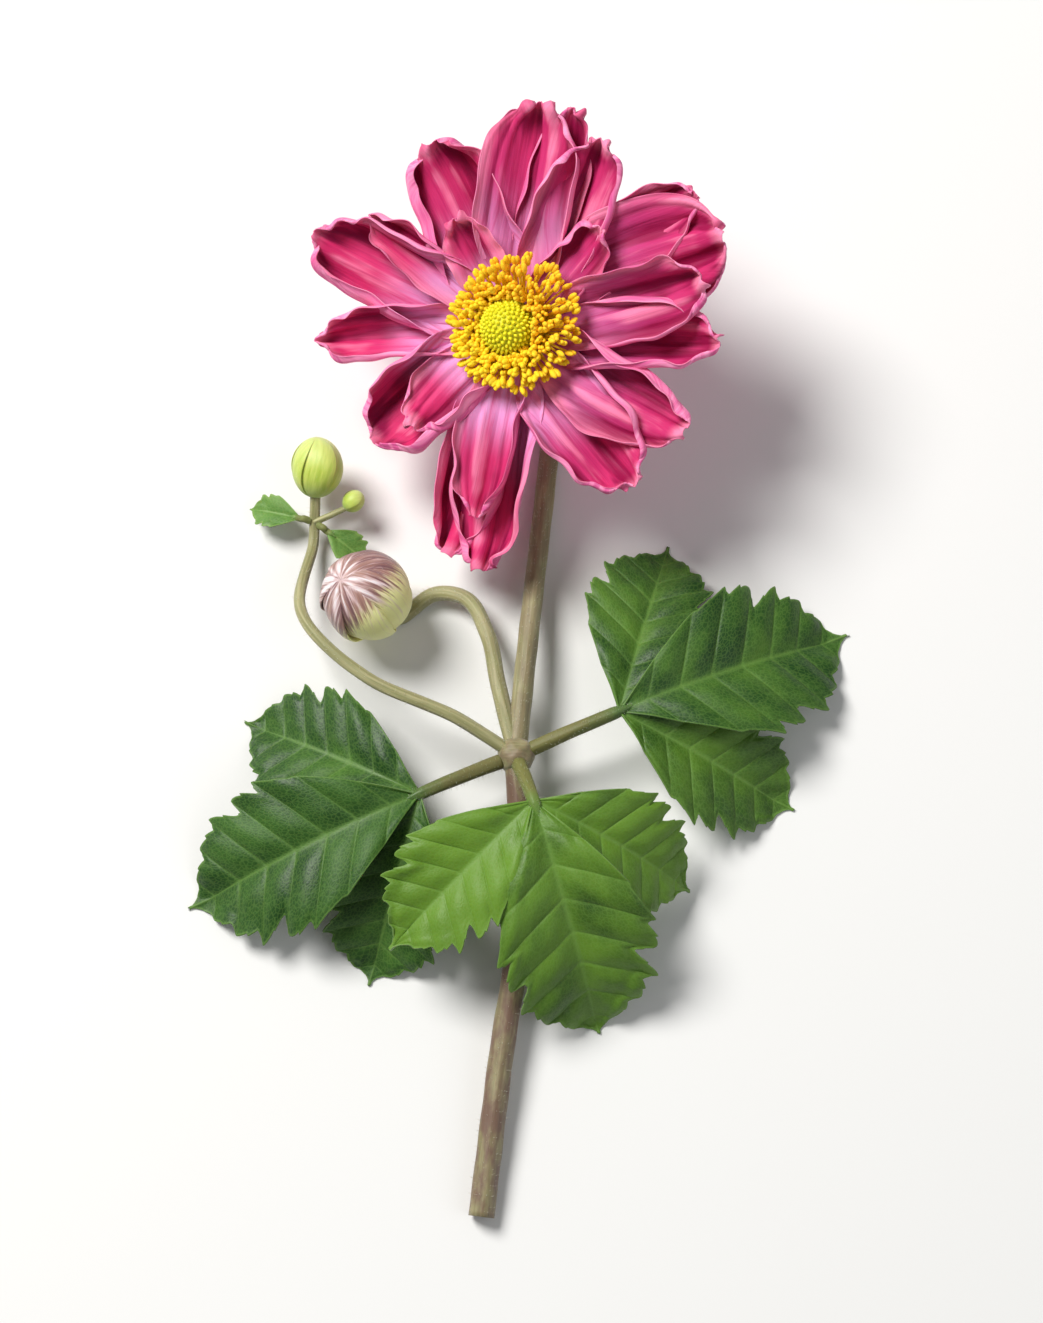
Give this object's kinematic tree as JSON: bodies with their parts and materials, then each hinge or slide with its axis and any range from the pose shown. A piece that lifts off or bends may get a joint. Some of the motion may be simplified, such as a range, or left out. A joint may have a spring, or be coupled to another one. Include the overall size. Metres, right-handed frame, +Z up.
{
  "type": "japanese anemone flower",
  "caption": "Picked half-double pink anemone bloom with golden stamens on a hooked stem, with side buds and a whorl of toothed, lobed leaves, lying on a surface.",
  "frame": {"origin": "middle of the outline of the lying flower, on the surface it lies on", "axes": "+Z up, the way the bloom faces; +Y from the stem's cut end towards the bloom; +X to the right of the bloom"},
  "size_m": [0.0888, 0.1436, 0.032],
  "materials": {
    "petal": "soft magenta-pink petal with fine veins, crimson hollows and pale edges",
    "stamen": "powdery golden yellow",
    "carpel": "grainy yellow-green",
    "stem": "downy olive with a purple-brown flush",
    "bud_striped": "purple-brown with silky silver-white stripes",
    "bud_green": "downy yellow-green",
    "leaf": "dark green leaf with sunken veins and a paler toothed edge",
    "bract": "young mid-green leaf"
  },
  "bodies": {
    "root": {"petals": "petal", "stamens": "stamen", "carpel_head": "carpel", "stem": "stem", "bud_striped": "bud_striped", "bud_green": "bud_green", "bud_tiny": "bud_green", "leaf_left": "leaf", "leaf_right": "leaf", "leaf_front": "leaf", "small_bract_outer": "bract", "small_bract_inner": "bract"}
  },
  "joints": []
}
